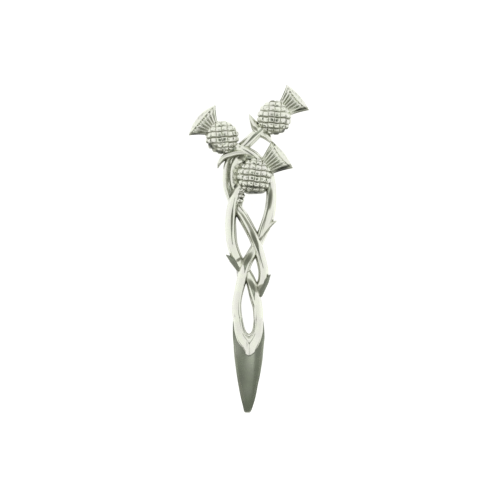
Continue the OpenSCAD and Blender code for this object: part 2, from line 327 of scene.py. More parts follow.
# Side, up, width as a share of STEM_W, rise as a share of OVER_RISE, where the crest is
# between the right-hand edge at -1 and the left-hand edge at 1 as one goes down the
# rows, half the width of the crest's flat in mm, and the place of a groove along the
# stem, from -1 to 1 as well, with its depth in mm
top_stem = [
    [0.219, 0.900, 1.00, 0.0, 0.0, 0.25, 0.00, 0.00],
    [0.100, 0.858, 0.90, 0.2, -0.1, 0.25, 0.00, 0.00],
    [0.054, 0.844, 1.00, 0.2, -0.1, 0.30, 0.00, 0.00],
    [-0.020, 0.818, 1.05, 0.0, 0.0, 0.10, 0.00, 0.00],
    [-0.095, 0.790, 1.20, 0.0, -0.3, 0.00, -0.20, 0.10],
    [-0.138, 0.758, 1.35, 0.0, -0.6, 0.00, -0.25, 0.45],
    [-0.146, 0.725, 1.50, 0.2, -0.6, 0.00, -0.25, 0.50],
    [-0.146, 0.690, 1.40, 0.2, -0.6, 0.00, -0.25, 0.28],
    [-0.128, 0.655, 1.10, 0.0, -0.3, 0.00, -0.30, 0.15],
    [-0.087, 0.622, 1.05, 0.0, 0.0, 0.10, -0.60, 0.20],
    [-0.041, 0.598, 1.05, 0.2, 0.0, 0.15, -0.60, 0.20],
    [0.020, 0.558, 1.05, 0.9, 0.0, 0.25, -0.65, 0.20],
    [0.058, 0.528, 1.03, 1.0, 0.0, 0.60, -0.65, 0.20],
    [0.083, 0.500, 1.03, 1.0, 0.0, 0.30, -0.65, 0.10],
    [0.112, 0.463, 1.00, 0.4, 0.0, 0.08, 0.00, 0.00],
    [0.129, 0.430, 1.00, 0.1, 0.1, 0.00, 0.00, 0.00],
    [0.119, 0.400, 0.95, 0.0, 0.1, 0.00, 0.00, 0.00],
    [0.087, 0.378, 0.90, 0.0, 0.0, 0.00, 0.00, 0.00],
    [0.054, 0.357, 0.80, 0.0, 0.0, 0.00, 0.00, 0.00],
]
left_stem = [
    [-0.213, 0.840, 1.00, 0.0, 0.0, 0.10, 0.00, 0.00],
    [-0.100, 0.808, 1.00, 0.4, 0.2, 0.00, 0.00, 0.00],
    [-0.037, 0.800, 1.00, 1.0, 0.2, 0.05, 0.00, 0.00],
    [0.037, 0.787, 1.00, 0.8, 0.0, 0.10, 0.00, 0.00],
    [0.108, 0.763, 1.00, 0.2, 0.0, 0.10, 0.00, 0.00],
    [0.158, 0.738, 1.00, 0.0, 0.0, 0.10, 0.00, 0.00],
    [0.187, 0.700, 1.00, 0.0, -0.25, 0.35, 0.00, 0.00],
    [0.194, 0.665, 1.00, 0.2, -0.3, 0.50, 0.00, 0.00],
    [0.189, 0.632, 1.05, 0.2, -0.4, 0.35, 0.00, 0.00],
    [0.174, 0.600, 1.10, 0.2, -0.55, 0.10, 0.00, 0.00],
    [0.136, 0.562, 1.05, 0.1, -0.55, 0.10, 0.00, 0.00],
    [0.087, 0.520, 1.00, 0.0, -0.2, 0.10, 0.00, 0.00],
    [0.029, 0.482, 1.00, 0.9, -0.1, 0.70, 0.00, 0.00],
    [-0.008, 0.458, 1.05, 1.0, -0.15, 0.70, 0.00, 0.00],
    [-0.035, 0.430, 1.05, 1.0, 0.2, 0.00, 0.00, 0.00],
    [-0.054, 0.400, 0.98, 0.5, 0.4, 0.00, 0.00, 0.00],
    [-0.073, 0.372, 0.90, 0.2, 0.5, 0.00, 0.65, 0.00],
    [-0.090, 0.340, 0.88, 0.2, 0.5, 0.00, 0.65, 0.08],
    [-0.093, 0.308, 0.92, 0.3, 0.5, 0.00, 0.65, 0.12],
    [-0.082, 0.283, 0.94, 0.0, 0.45, 0.00, 0.62, 0.15],
    [-0.072, 0.262, 0.85, -0.7, 0.40, 0.00, 0.60, 0.00],
]
front_stem = [
    [0.056, 0.722, 1.00, 1.0, 0.0, 0.00, 0.00, 0.00],
    [-0.064, 0.690, 1.00, 1.6, 0.0, 0.00, 0.00, 0.00],
    [-0.102, 0.662, 1.02, 1.4, 0.0, 0.00, 0.00, 0.00],
    [-0.128, 0.630, 1.02, 0.7, 0.15, 0.10, 0.00, 0.00],
    [-0.140, 0.598, 1.05, 0.3, 0.2, 0.25, 0.00, 0.00],
    [-0.143, 0.562, 1.05, 0.2, 0.2, 0.20, 0.00, 0.00],
    [-0.135, 0.525, 1.05, 0.2, 0.1, 0.05, 0.00, 0.00],
    [-0.113, 0.493, 1.05, 0.1, 0.0, 0.00, 0.00, 0.00],
    [-0.083, 0.468, 1.00, 0.0, 0.0, 0.00, 0.00, 0.00],
    [-0.050, 0.448, 1.00, 0.0, 0.0, 0.00, 0.00, 0.00],
    [-0.012, 0.427, 1.00, 0.0, 0.0, 0.05, 0.00, 0.00],
    [0.021, 0.405, 1.00, 0.7, -0.1, 0.60, 0.00, 0.00],
    [0.045, 0.378, 1.10, 0.9, -0.05, 0.60, 0.00, 0.00],
    [0.063, 0.350, 1.10, 0.9, -0.2, 0.05, -0.65, 0.00],
    [0.080, 0.322, 0.98, 0.4, -0.4, 0.00, -0.65, 0.08],
    [0.087, 0.291, 0.96, 0.3, -0.5, 0.00, -0.65, 0.12],
    [0.087, 0.275, 0.94, 0.0, -0.45, 0.00, -0.62, 0.15],
    [0.082, 0.258, 0.85, -0.7, -0.40, 0.00, -0.60, 0.00],
]
sickle_leaf = [
    [-0.250, 0.746, 0.10, -0.8, 0.3, 0.00, 0.00, 0.00],
    [-0.235, 0.762, 0.42, 0.2, 0.5, 0.00, 0.00, 0.00],
    [-0.200, 0.777, 0.62, 0.6, 0.6, 0.00, 0.00, 0.00],
    [-0.140, 0.785, 0.66, 0.9, 0.6, 0.00, 0.00, 0.00],
    [-0.080, 0.790, 0.60, 1.0, 0.6, 0.00, 0.00, 0.00],
    [-0.020, 0.788, 0.50, 0.8, 0.5, 0.00, 0.00, 0.00],
]
upper_leaf = [
    [0.010, 0.911, 0.12, -1.0, -0.4, 0.00, 0.00, 0.00],
    [0.036, 0.892, 0.50, -0.6, -0.6, 0.00, 0.00, 0.00],
    [0.066, 0.874, 0.95, 0.0, -0.7, 0.00, 0.00, 0.00],
    [0.092, 0.862, 1.05, 0.4, -0.6, 0.00, 0.00, 0.00],
]
right_leaf = [
    [0.2374, 0.585, 0.12, -0.8, 0.0, 0.00, 0.00, 0.00],
    [0.184, 0.574, 0.50, -0.3, 0.3, 0.00, 0.00, 0.00],
    [0.132, 0.557, 0.70, -0.1, 0.3, 0.00, 0.00, 0.00],
    [0.101, 0.533, 0.50, -0.5, 0.2, 0.00, 0.00, 0.00],
]
bridge = [
    [0.190, 0.826, 0.30, -0.3, 0.0, 0.00, 0.00, 0.00],
    [0.165, 0.840, 0.70, 0.0, 0.0, 0.00, 0.00, 0.00],
    [0.135, 0.850, 0.90, 0.2, 0.0, 0.00, 0.00, 0.00],
    [0.090, 0.856, 0.80, 0.0, 0.0, 0.00, 0.00, 0.00],
]
collar = [
    [-0.050, 0.800, 0.60, -0.4, -0.4, 0.00, 0.00, 0.00],
    [-0.068, 0.775, 1.10, 0.3, -0.5, 0.00, 0.00, 0.00],
    [-0.085, 0.750, 1.40, 0.8, -0.6, 0.00, 0.00, 0.00],
    [-0.092, 0.722, 1.45, 0.9, -0.6, 0.00, 0.00, 0.00],
    [-0.090, 0.695, 1.30, 0.8, -0.6, 0.00, 0.00, 0.00],
    [-0.080, 0.668, 0.80, 0.2, -0.5, 0.00, 0.00, 0.00],
]
# The foot of the loop: side and up of its inner edge and of its outer edge, and then as
# above from the rise on
loop_foot = [
    [-0.0554, 0.3137, -0.1249, 0.3168, -0.50, 0.50, 0.00, 0.65, 0.10],
    [-0.0438, 0.2863, -0.1199, 0.2832, 0.20, 0.45, 0.00, 0.62, 0.15],
    [-0.0273, 0.2604, -0.1100, 0.2482, 0.20, 0.38, 0.00, 0.60, 0.18],
    [-0.0141, 0.2485, -0.0840, 0.2177, 0.25, 0.32, 0.05, 0.62, 0.22],
    [-0.0033, 0.2436, -0.0364, 0.1933, 0.40, 0.26, 0.10, 0.64, 0.25],
    [0.0083, 0.2421, 0.0141, 0.1643, 0.55, 0.25, 0.12, 0.66, 0.25],
    [0.0207, 0.2436, 0.0700, 0.1933, 0.40, 0.26, 0.10, 0.64, 0.25],
    [0.0314, 0.2485, 0.1030, 0.2177, 0.25, 0.32, 0.05, 0.62, 0.22],
    [0.0405, 0.2604, 0.1241, 0.2482, 0.20, 0.38, 0.00, 0.60, 0.18],
    [0.0471, 0.2863, 0.1266, 0.2832, 0.20, 0.45, 0.00, 0.62, 0.15],
    [0.0488, 0.3137, 0.1216, 0.3168, -0.50, 0.50, 0.00, 0.65, 0.10],
]
# How much of the height the side wall takes, and how sharply the front turns down into
# it, on the stems and on the foot of the loop
SIDE_UP = (0.32, 5)
FOOT_UP = (0.50, 12)
BACK_IN = 0.8
CREST_LIMIT = 0.8
FALL_LIMIT = 0.6
FACET_STEPS = 15
FINER_OUT = 1.3
STEM_STEPS = 7
FOOT_STEPS = 6


def stem_section(half, tall, crest, flat, groove, deep, side_up=SIDE_UP):
    """From edge to edge over the crest, then two corners below the back."""
    crest = max(-CREST_LIMIT, min(CREST_LIMIT, crest))
    wall, turn = side_up
    section = []

    def fall(out):
        return min(math.tan(math.radians(SLOPE)) * max(0, out - flat), FALL_LIMIT * tall)

    for k in range(-FACET_STEPS, FACET_STEPS + 1):
        w = 1 - (1 - abs(k) / FACET_STEPS) ** FINER_OUT
        facet = half * (1 + crest if k < 0 else 1 - crest)
        u = crest + math.copysign(w * facet / half, k)
        edge = (1 - wall) * tall - fall(facet)
        cut = deep * math.exp(-((u - groove) * half / GROOVE_W) ** 2)
        section.append((u * half, tall - fall(w * facet) - edge * w ** turn - cut))
    return section + [(BACK_IN * half, BELOW), (-BACK_IN * half, BELOW)]


def stem(rows, name):
    """Draws the section along the rows' curve, always square to it."""
    path = [(at(side, up), wide * STEM_W / 2, STEM_H + rise * OVER_RISE, *shape)
            for side, up, wide, rise, *shape in smooth_rows(rows, STEM_STEPS)]
    last = len(path) - 1
    rings = []
    for i, (here, *section) in enumerate(path):
        run = (path[min(i + 1, last)][0] - path[max(i - 1, 0)][0]).normalized()
        over = Vector((-run.y, run.x))
        rings.append([(*(here + over * x), z) for x, z in stem_section(*section)])
    keep_feature(loft(rings), name)


rings = []
for row in smooth_rows(loop_foot, FOOT_STEPS):
    inner, outer = at(*row[:2]), at(*row[2:4])
    half = (inner - outer).length / 2
    rise, *shape = row[4:]
    over = (inner - outer).normalized()
    section = stem_section(half, STEM_H + rise * OVER_RISE, *shape, FOOT_UP)
    rings.append([(*((inner + outer) / 2 + over * x), z) for x, z in section])
keep_feature(loft(rings), "loop_foot")
stem(top_stem, "top_stem")
stem(left_stem, "left_stem")
stem(front_stem, "front_stem")
stem(sickle_leaf, "sickle_leaf")
stem(upper_leaf, "upper_leaf")
stem(right_leaf, "right_leaf")
stem(bridge, "bridge")
stem(collar, "collar")

# The eye of the loop is cut out of the blade, between the middle lines of its two stems
EYE_TOP = 0.37
EYE_LOW = 0.248
EYE_FOOT = (0.008, 0.238)
EYE_DEEP = 10
left_side, right_side = [
    [at(*row[:2]) for row in rows if EYE_LOW < row[1] < EYE_TOP]
    for rows in (left_stem, front_stem)]
bm = bmesh.new()
corners = left_side + [at(*EYE_FOOT)] + right_side[::-1]
outline = [bm.verts.new((*p, -EYE_DEEP / 2)) for p in corners]
floor_of_eye = bmesh.ops.contextual_create(bm, geom=outline)["faces"]
walls = bmesh.ops.extrude_face_region(bm, geom=floor_of_eye)["geom"]
raised = [v for v in walls if isinstance(v, bmesh.types.BMVert)]
bmesh.ops.translate(bm, vec=(0, 0, EYE_DEEP), verts=raised)
bmesh.ops.recalc_face_normals(bm, faces=bm.faces)
keep_feature(bm, "eye")
eye = features.pop()

# ---------------------------------------------------------------------------------
# The thorns: short pointed leaves on the outer sides of the stems, and the webs that
# fill the corners around the front thistle, with a few small knobs on the one below
# it. All of them are pewter, cast in one with the stems.

# How flat its top is, as a share of its width, and then from tip to root: side, up,
# width as a share of STEM_W, and height as a share of STEM_H
thorns = [
    [0.80, [-0.178, 0.481, 0.12, 0.90], [-0.126, 0.466, 0.70, 0.88],
     [-0.080, 0.437, 0.40, 0.86]],
    [0.80, [0.185, 0.421, 0.12, 0.96], [0.150, 0.399, 0.60, 0.94],
     [0.112, 0.357, 0.22, 0.92], [0.100, 0.372, 0.50, 0.92]],
    [0.15, [-0.105, 0.756, 0.90, 0.90], [-0.040, 0.768, 1.50, 1.60]],
    [0.15, [-0.010, 0.778, 1.00, 1.45], [0.035, 0.776, 1.00, 1.45]],
    [0.80, [0.010, 0.688, 1.35, 1.20], [0.108, 0.688, 1.25, 1.20]],
    [0.15, [-0.064, 0.688, 1.00, 1.78], [-0.083, 0.636, 0.90, 1.40]],
    [0.30, [-0.178, 0.797, 0.85, 1.15], [-0.115, 0.805, 1.00, 1.35]],
]
THORN_SIDES = 16
SHOULDER = 0.5


def wrap(bm):
    """Stretches a skin over all that is in the mesh and clears out what it covers."""
    bmesh.ops.convex_hull(bm, input=bm.verts)
    bmesh.ops.delete(bm, geom=[e for e in bm.edges if e.is_wire], context="EDGES")
    bmesh.ops.delete(bm, geom=[v for v in bm.verts if not v.link_faces], context="VERTS")
    bmesh.ops.recalc_face_normals(bm, faces=bm.faces)


for i, (flat, *rows) in enumerate(thorns):
    bm = bmesh.new()
    for side, up, wide, tall in rows:
        top = tall * STEM_H
        for z, share in ((BELOW, 1), (SHOULDER * top, 1), (top, flat)):
            bmesh.ops.create_circle(
                bm, segments=THORN_SIDES, radius=wide * STEM_W / 2 * share,
                matrix=Matrix.Translation((*at(side, up), z)))
    wrap(bm)
    keep_feature(bm, f"thorn_{i}")

# Side, up, width as a share of STEM_W, height as a share of STEM_H, and length as a
# share of the width
knobs = [
    [-0.060, 0.683, 1.00, 1.86, 0.80],
    [-0.054, 0.661, 0.75, 1.71, 0.65],
    [-0.066, 0.647, 0.80, 1.58, 0.75],
]
for i, (side, up, wide, tall, long) in enumerate(knobs):
    bm = bmesh.new()
    bmesh.ops.create_uvsphere(bm, u_segments=24, v_segments=16, radius=wide * STEM_W / 2)
    bmesh.ops.scale(bm, verts=bm.verts, vec=(1, long, 1))
    middle = (*at(side, up), tall * STEM_H - 0.5 * wide * STEM_W)
    bmesh.ops.translate(bm, verts=bm.verts, vec=middle)
    keep_feature(bm, f"knob_{i}")

# ---------------------------------------------------------------------------------
# The thistles: three pewter heads, cast in one with their stems, each a globe covered
# with pointed bracts and a fluted tuft that flares to a slanted lip. The front one
# stands proud of the other two.

GLOBE_D = 10
GLOBE_RISE = 4.3
GLOBE_SINK = 0.05
GLOBE_SEAT = 1.6
FRONT_LIFT = 2
BRACT_STARTS = 12
AROUND = 180
# Of the two sets of grooves: depth in mm, width as a share of a bract, the tarnish in
# them and its width. Then how far they wander and in what waves, and how far the bracts
# swell on the back heads and on the front one
ROW_GROOVE, ROW_WIDE, ROW_DARK, ROW_DARK_WIDE = 0.45, 0.45, 0.62, 0.32
COLUMN_GROOVE, COLUMN_WIDE, COLUMN_DARK, COLUMN_DARK_WIDE = 0.32, 0.34, 0.50, 0.28
WANDER = 0.045
ROW_WAVES, COLUMN_WAVES = 3, 4
BULGE = (0.05, 0.25)
TUFT_H = 3.3
TUFT_EDGE = 1
FLUTES = 8
FLUTE_DEPTH = 0.5
LIP_W = 1.6
PAD_SHARE = 0.9
PAD_H = (0.9, 1.5)
PAD_SIDES = 96
NECK_AT = 0.75
NECK_W = 0.5
# Side, up, the way it points in degrees, its size as a share of GLOBE_D, the reach and
# spread of the tuft's corners and the reach of its crown as shares of the globe's
# radius, and 1 where it stands proud
thistles = {
    "top": [0.219, 0.900, 41, 1.01, 1.80, 0.98, 1.96, 0],
    "left": [-0.213, 0.840, 139, 0.98, 1.57, 1.20, 1.92, 0],
    "front": [0.056, 0.722, 38, 1.05, 1.93, 0.96, 2.08, 1],
}


def beside_groove(share, wide):
    """0 on the bottom of a groove and 1 on the cushions between two."""
    off = 1 - abs(2 * (share - math.floor(share)) - 1)
    return min(1, off / wide) ** 2 * (3 - 2 * min(1, off / wide))


def globe(radius, rise, rows_fall, bulge):
    """A ball with two sets of grooves that wind around it and leave the bracts between."""
    bm = bmesh.new()
    patina_and_side_shade = bm.verts.layers.float.new("patina_and_side_shade")
    bmesh.ops.create_uvsphere(bm, u_segments=AROUND, v_segments=AROUND // 2, radius=1)
    for v in bm.verts:
        row, column = [
            math.asin(max(-1, min(1, (v.co.z - side * rows_fall * v.co.y) / math.sqrt(2))))
            * BRACT_STARTS / (math.sqrt(2) * math.pi) for side in (-1, 1)]
        row, column = (row + WANDER * math.sin(ROW_WAVES * column),
                       column + WANDER * math.sin(COLUMN_WAVES * row))
        groove = max(ROW_GROOVE * (1 - beside_groove(row, ROW_WIDE)),
                     COLUMN_GROOVE * (1 - beside_groove(column, COLUMN_WIDE)))
        swell = bulge * (math.cos(2 * math.pi * row) + math.cos(2 * math.pi * column) + 2) / 4
        v.co *= 1 - (groove + swell) / radius
        v[patina_and_side_shade] = max(ROW_DARK * (1 - beside_groove(row, ROW_DARK_WIDE)),
                         COLUMN_DARK * (1 - beside_groove(column, COLUMN_DARK_WIDE)))
    bmesh.ops.rotate(bm, verts=bm.verts, matrix=Matrix.Rotation(math.pi / 2, 3, "Y"))
    bmesh.ops.scale(bm, verts=bm.verts, vec=(radius, radius, rise))
    return bm


ALONG = 22
ACROSS = FLUTES * 12
LIP_STEPS = 5
FLARE = 1.3
CROWN_FALL = 0.25
# Where in degrees of a half wave the flutes' depth starts, how far it runs, how sharp
# their ridges are and how soon they fade at the corners
FLUTE_START, FLUTE_RUN = 15, 150
FLUTE_SHARP = 1.2
FLUTE_FADE = 12
# The thin groove along the lip: depth in mm, place and width as shares of the length
ARC_DEPTH, ARC_AT, ARC_WIDE, ARC_FADE = 0.35, 0.94, 0.04, 3
LIP_FALL, LIP_CURVE = 0.45, 1.4
# Painted shade on the low side of a tuft, and where it sets in across the fan
LOW_SIDE_SHADE, LOW_AT, LOW_WIDE = 0.42, 0.22, 0.25


def tuft(aim, reach, spread, crown, lift, radius):
    """A fan of flutes from the neck to the lip, and then the slanted lip itself."""
    below = 0 if lift else BELOW
    neck = NECK_AT * radius
    rings = []
    for j in range(ALONG + LIP_STEPS + 1):
        t = min(1, j / ALONG)
        slant = max(0, j - ALONG) / LIP_STEPS
        swing = math.sin(math.radians(FLUTE_RUN * t + FLUTE_START))
        dip = math.exp(-((t - ARC_AT) / ARC_WIDE) ** 2)
        top, under = [], []
        for i in range(ACROSS + 1):
            s = 1 - 2 * i / ACROSS
            round_off = max(0, 1 - s * s)
            rim = (reach + (crown - reach) * round_off) * radius
            y = s * radius * (NECK_W + (spread - NECK_W) * t ** FLARE)
            fold = 0.5 + 0.5 * math.cos(math.pi * FLUTES * (1 - s))
            groove = FLUTE_DEPTH * swing * fold ** FLUTE_SHARP * min(1, FLUTE_FADE * round_off)
            arc = ARC_DEPTH * dip * min(1, ARC_FADE * round_off) * (1 - slant)
            tall = TUFT_EDGE + (TUFT_H - TUFT_EDGE) * (1 - CROWN_FALL * t) * (1 - abs(s) ** 3)
            tall = tall - groove * (1 - slant) - arc
            lip = LIP_W * round_off * (1 - slant)
            stays = 1 - LIP_FALL * slant ** LIP_CURVE if slant < 1 else 0
            top.append((neck + t * (rim - lip - neck), y, below + (tall - below) * stays))
            under.append((neck + t * (rim - neck), y, below))
        rings.append(top + under[::-1])
    bm = loft(rings)
    bmesh.ops.remove_doubles(bm, verts=bm.verts, dist=0.0001)
    bmesh.ops.recalc_face_normals(bm, faces=bm.faces)
    # Painted shade on the tuft's low side, kept with the globes' groove patina
    patina_and_side_shade = bm.verts.layers.float.new("patina_and_side_shade")
    for v in bm.verts:
        low_side = -math.copysign(1, math.cos(math.radians(aim))) * v.co.y / v.co.x
        v[patina_and_side_shade] = LOW_SIDE_SHADE * max(0, min(1, (low_side - LOW_AT) / LOW_WIDE))
    return bm


for name, (side, up, aim, size, reach, spread, crown, lift) in thistles.items():
    radius = GLOBE_D / 2 * size
    turned = Matrix.Rotation(math.radians(aim), 4, "Z")
    place = Matrix.Translation((*at(side, up), lift * FRONT_LIFT)) @ turned
    rows_fall = math.copysign(1, math.cos(math.radians(aim)))
    bm = globe(radius, GLOBE_RISE * size - GLOBE_SINK, rows_fall, BULGE[lift])
    seat = place @ Matrix.Translation((0, 0, GLOBE_SEAT))
    bmesh.ops.transform(bm, matrix=seat, verts=bm.verts)
    keep_feature(bm, name + "_globe")
    pad_h = PAD_H[lift]
    bm = bmesh.new()
    bmesh.ops.create_cone(
        bm, cap_ends=True, segments=PAD_SIDES, radius1=PAD_SHARE * radius,
        radius2=PAD_SHARE * radius, depth=pad_h - BELOW,
        matrix=Matrix.Translation((*at(side, up), (pad_h + BELOW) / 2)))
    keep_feature(bm, name + "_pad")
    bm = tuft(aim, reach, spread, crown, lift, radius)
    bmesh.ops.transform(bm, matrix=place, verts=bm.verts)
    keep_feature(bm, name + "_tuft")

# ---------------------------------------------------------------------------------
# The casting: all of the above is one piece of pewter with a flat back, cast in a
# single mould, polished bright on the front, with patina and painted shade in its
# hollows and painted shade on its shaded faces, and finely brushed on the back.

WASTE_SIZE = (200, 200, 10)
WASTE_MIDDLE = (0, 50, -5)
MERGE = 0.002
SLIVER = 0.001
SHARP = 35


def plate(size, middle, name):
    """A plain block, added to the features."""
    bm = bmesh.new()
    bmesh.ops.create_cube(
        bm, size=1, matrix=Matrix.Translation(middle) @ Matrix.Diagonal((*size, 1)))
    keep_feature(bm, name)


def run_together(body, steps):
    """Adds the features to the body, or cuts them out of it, one after another."""
    for operation, tool in steps:
        step = body.modifiers.new(tool.name, "BOOLEAN")
        step.operation = operation
        step.solver = "MANIFOLD"
        step.object = tool
    shown = body.evaluated_get(bpy.context.evaluated_depsgraph_get())
    bm = bmesh.new()
    bm.from_mesh(shown.to_mesh())
    for used in [body] + [tool for operation, tool in steps]:
        bpy.data.objects.remove(used)
    features.clear()
    bmesh.ops.remove_doubles(bm, verts=bm.verts, dist=MERGE)
    return bm


def finished_piece(bm, name, back):
    """Takes a mesh from millimetres off the blade's point to its place in the frame."""
    place = Matrix.Scale(MM, 4) @ Matrix.Translation((*POINT, back))
    bmesh.ops.transform(bm, matrix=place, verts=bm.verts)
    mesh = bpy.data.meshes.new(name)
    bm.to_mesh(mesh)
    bm.free()
    mesh.shade_smooth()
    mesh.set_sharp_from_angle(angle=math.radians(SHARP))
    piece = bpy.data.objects.new(name, mesh)
    bpy.context.collection.objects.link(piece)
    return piece


plate(WASTE_SIZE, WASTE_MIDDLE, "under_the_back")
under_the_back = features.pop()
bm = run_together(
    blade, [("DIFFERENCE", eye)] + [("UNION", feature) for feature in features]
    + [("DIFFERENCE", under_the_back)])
bmesh.ops.dissolve_degenerate(bm, edges=bm.edges, dist=SLIVER)
bmesh.ops.triangulate(bm, faces=bm.faces)
bm.normal_update()

# Painted shade and painted dark reflections, laid as marks: side, up, half the length and width in
# mm, how many degrees each leans from level, and how dark it is, or under zero where it lightens
# the painted shade and patina there
shade_marks = [
    [0.005, 0.780, 1.4, 0.87, 0, -0.85],
    [-0.078, 0.737, 2.9, 0.75, 82, -0.75],
    [-0.156, 0.686, 2.0, 0.58, -75, -0.60],
    [-0.115, 0.795, 3.5, 1.01, 14, -0.55],
    [0.075, 0.884, 0.9, 0.87, 0, -0.80],
    [0.356, 0.919, 2.0, 0.87, 20, -0.60],
    [-0.454, 0.862, 1.7, 0.72, -10, -0.60],
    [-0.206, 0.823, 1.7, 0.87, 0, -0.40],
    [-0.206, 0.803, 1.4, 0.58, 0, -0.50],
    [-0.057, 0.675, 0.7, 0.58, 0, -0.60],
    [-0.098, 0.710, 2.0, 0.64, 85, -0.50],
    [0.150, 0.856, 1.2, 0.58, 0, -0.50],
    [-0.132, 0.588, 3.2, 0.32, 88, 0.50],
    [-0.090, 0.609, 3.5, 0.29, 86, 0.50],
    [0.003, 0.576, 4.3, 0.35, -58, 0.62],
    [0.092, 0.478, 3.2, 0.26, -80, 0.36],
    [0.055, 0.529, 2.8, 0.61, -65, 0.66],
    [-0.005, 0.469, 2.2, 0.93, 57, 0.66],
    [0.039, 0.388, 2.5, 0.75, -52, 0.66],
    [0.186, 0.652, 3.0, 0.61, 84, 0.72],
    [0.146, 0.593, 4.3, 0.26, 77, 0.55],
    [-0.115, 0.448, 2.3, 1.04, -59, 0.60],
    [-0.077, 0.467, 0.9, 0.38, 40, 0.85],
    [0.129, 0.384, 2.3, 0.70, 60, 0.45],
    [0.104, 0.382, 1.4, 0.75, 35, 0.62],
    [0.024, 0.883, 2.3, 0.26, -62, 0.62],
    [-0.020, 0.376, 1.3, 0.46, 50, 0.60],
    [0.282, 0.742, 2.9, 0.67, 26, 0.95],
    [0.447, 0.926, 2.0, 0.35, 12, 0.88],
    [-0.409, 0.849, 2.6, 0.41, -4, 0.95],
    [-0.289, 0.802, 2.0, 0.58, -25, 0.60],
    [0.050, 0.687, 3.5, 0.35, -6, 0.95],
    [0.071, 0.670, 3.2, 0.58, -2, 1.00],
    [-0.104, 0.173, 4.9, 0.35, -82, 0.50],
    [0.111, 0.180, 4.9, 0.35, 83, 0.50],
    [-0.059, 0.076, 4.9, 0.43, -76, 0.52],
    [0.077, 0.088, 4.9, 0.35, 77, 0.48],
    [0.241, 0.852, 1.7, 0.41, 4, 0.95],
    [0.307, 0.862, 1.7, 0.41, 32, 0.95],
    [0.199, 0.867, 3.2, 0.23, -4, 0.80],
    [-0.309, 0.814, 1.7, 0.43, -45, 0.95],
    [-0.231, 0.795, 1.7, 0.43, -12, 0.95],
    [-0.280, 0.815, 2.6, 0.23, -24, 0.62],
    [0.065, 0.866, 0.9, 0.32, -52, 0.80],
    [-0.081, 0.593, 1.3, 0.52, -60, 1.00],
    [-0.002, 0.370, 2.5, 0.32, -60, 0.75],
    [-0.128, 0.670, 1.4, 0.29, 57, 0.85],
    [0.224, 0.730, 1.4, 0.35, 40, 0.70],
    [0.108, 0.531, 0.7, 0.38, 50, 0.90],
    [0.224, 0.953, 2.0, 0.46, 6, 0.95],
    [-0.061, 0.777, 1.2, 0.52, -15, 1.00],
    [-0.098, 0.690, 0.6, 0.46, 45, 1.00],
    [-0.072, 0.667, 0.4, 0.35, 0, 0.75],
    [-0.053, 0.655, 0.9, 0.26, -4, 0.85],
    [-0.067, 0.641, 0.5, 0.26, 20, 0.80],
    [0.166, 0.557, 3.2, 0.29, 51, 0.65],
    [-0.181, 0.765, 2.5, 0.29, 35, 0.52],
]
# As shares of a mark's size, where it starts to fade and where it ends
MARK_CORE = 0.65
MARK_EDGE = 1.35
# Patina and painted shade in the hollows: how deep in one each point lies comes from short
# lines of sight out of the metal: their number, length and start in mm, how dark they can
# make it, and how much less a far wall counts than a near one
SIGHTS = 20
SIGHT = 1.7
SIGHT_START = 0.02
SIGHT_DARK, SIGHT_MOST = 0.85, 0.55
FAR_LESS = 0.6
# Painted shade on a side wall that faces another across an opening up to this wide in mm,
# how steep a wall has to be, and how dark the shade is
OPENING = 7
WALL_LEVEL = 0.7
WALL_DARK = 0.6
# Painted shade on faces that lean towards the blade's point, on their shaded side: where that
# sets in and over what range, and how dark it makes them, with or without patina of their own
LEAN_AT, LEAN_WIDE = 0.42, 0.4
LEAN_SHADE = 0.55
LEAN_SHADE_ON_PATINA = 0.55
# One value for each point that darkens the pewter: patina in its hollows, and painted shade from
# the lines of sight, the walls, the leaning faces and the marks below
patina_and_shade = bm.verts.layers.float.new("patina_and_shade")
patina_and_side_shade = bm.verts.layers.float["patina_and_side_shade"]
metal = BVHTree.FromBMesh(bm)
golden = math.pi * (3 - math.sqrt(5))
painted_shade_marks = [(at(side, up), Matrix.Rotation(-math.radians(lean), 2), long, wide, deep)
               for side, up, long, wide, lean, deep in shade_marks]
sights = []
for i in range(SIGHTS):
    up = math.sqrt(1 - (i + 0.5) / SIGHTS)
    out = math.sqrt(1 - up * up)
    sights.append(Vector((out * math.cos(i * golden), out * math.sin(i * golden), up)))
# Patina and painted shade for each point
for v in bm.verts:
    turned = v.normal.to_track_quat("Z", "Y")
    start = v.co + v.normal * SIGHT_START
    hidden = 0
    for sight in sights:
        hit, _, _, far = metal.ray_cast(start, turned @ sight, SIGHT)
        if hit is not None:
            hidden += 1 - FAR_LESS * far / SIGHT
    v[patina_and_shade] = min(SIGHT_DARK * hidden / SIGHTS, SIGHT_MOST)
    # Painted shade on walls that face each other across an opening
    if abs(v.normal.z) < WALL_LEVEL:
        outwards = Vector((v.normal.x, v.normal.y, 0)).normalized()
        if metal.ray_cast(start, outwards, OPENING)[0] is not None:
            wall = WALL_DARK * (1 - abs(v.normal.z) / WALL_LEVEL) ** 0.5
            v[patina_and_shade] = max(v[patina_and_shade], wall)
    # Painted shade on faces that lean towards the blade's point
    low = max(0, min(1, (-v.normal.y - LEAN_AT) / LEAN_WIDE))
    v[patina_and_shade] = max(v[patina_and_shade], v[patina_and_side_shade] * (1 + LEAN_SHADE_ON_PATINA * low), LEAN_SHADE * low)
    # The marks add painted shade, or lighten it where they are under zero
    for middle, turn, long, wide, deep in painted_shade_marks:
        off = turn @ (v.co.xy - middle)
        far = math.hypot(off.x / long, off.y / wide)
        if far < MARK_EDGE and v.normal.z > 0:
            mark = deep * min(1, (MARK_EDGE - far) / (MARK_EDGE - MARK_CORE))
            v[patina_and_shade] = max(v[patina_and_shade], mark) if deep > 0 else v[patina_and_shade] * (1 + mark)
softened = []
for v in bm.verts:
    around = sum(e.other_vert(v)[patina_and_shade] for e in v.link_edges) / len(v.link_edges)
    softened.append((v[patina_and_shade] + around) / 2)
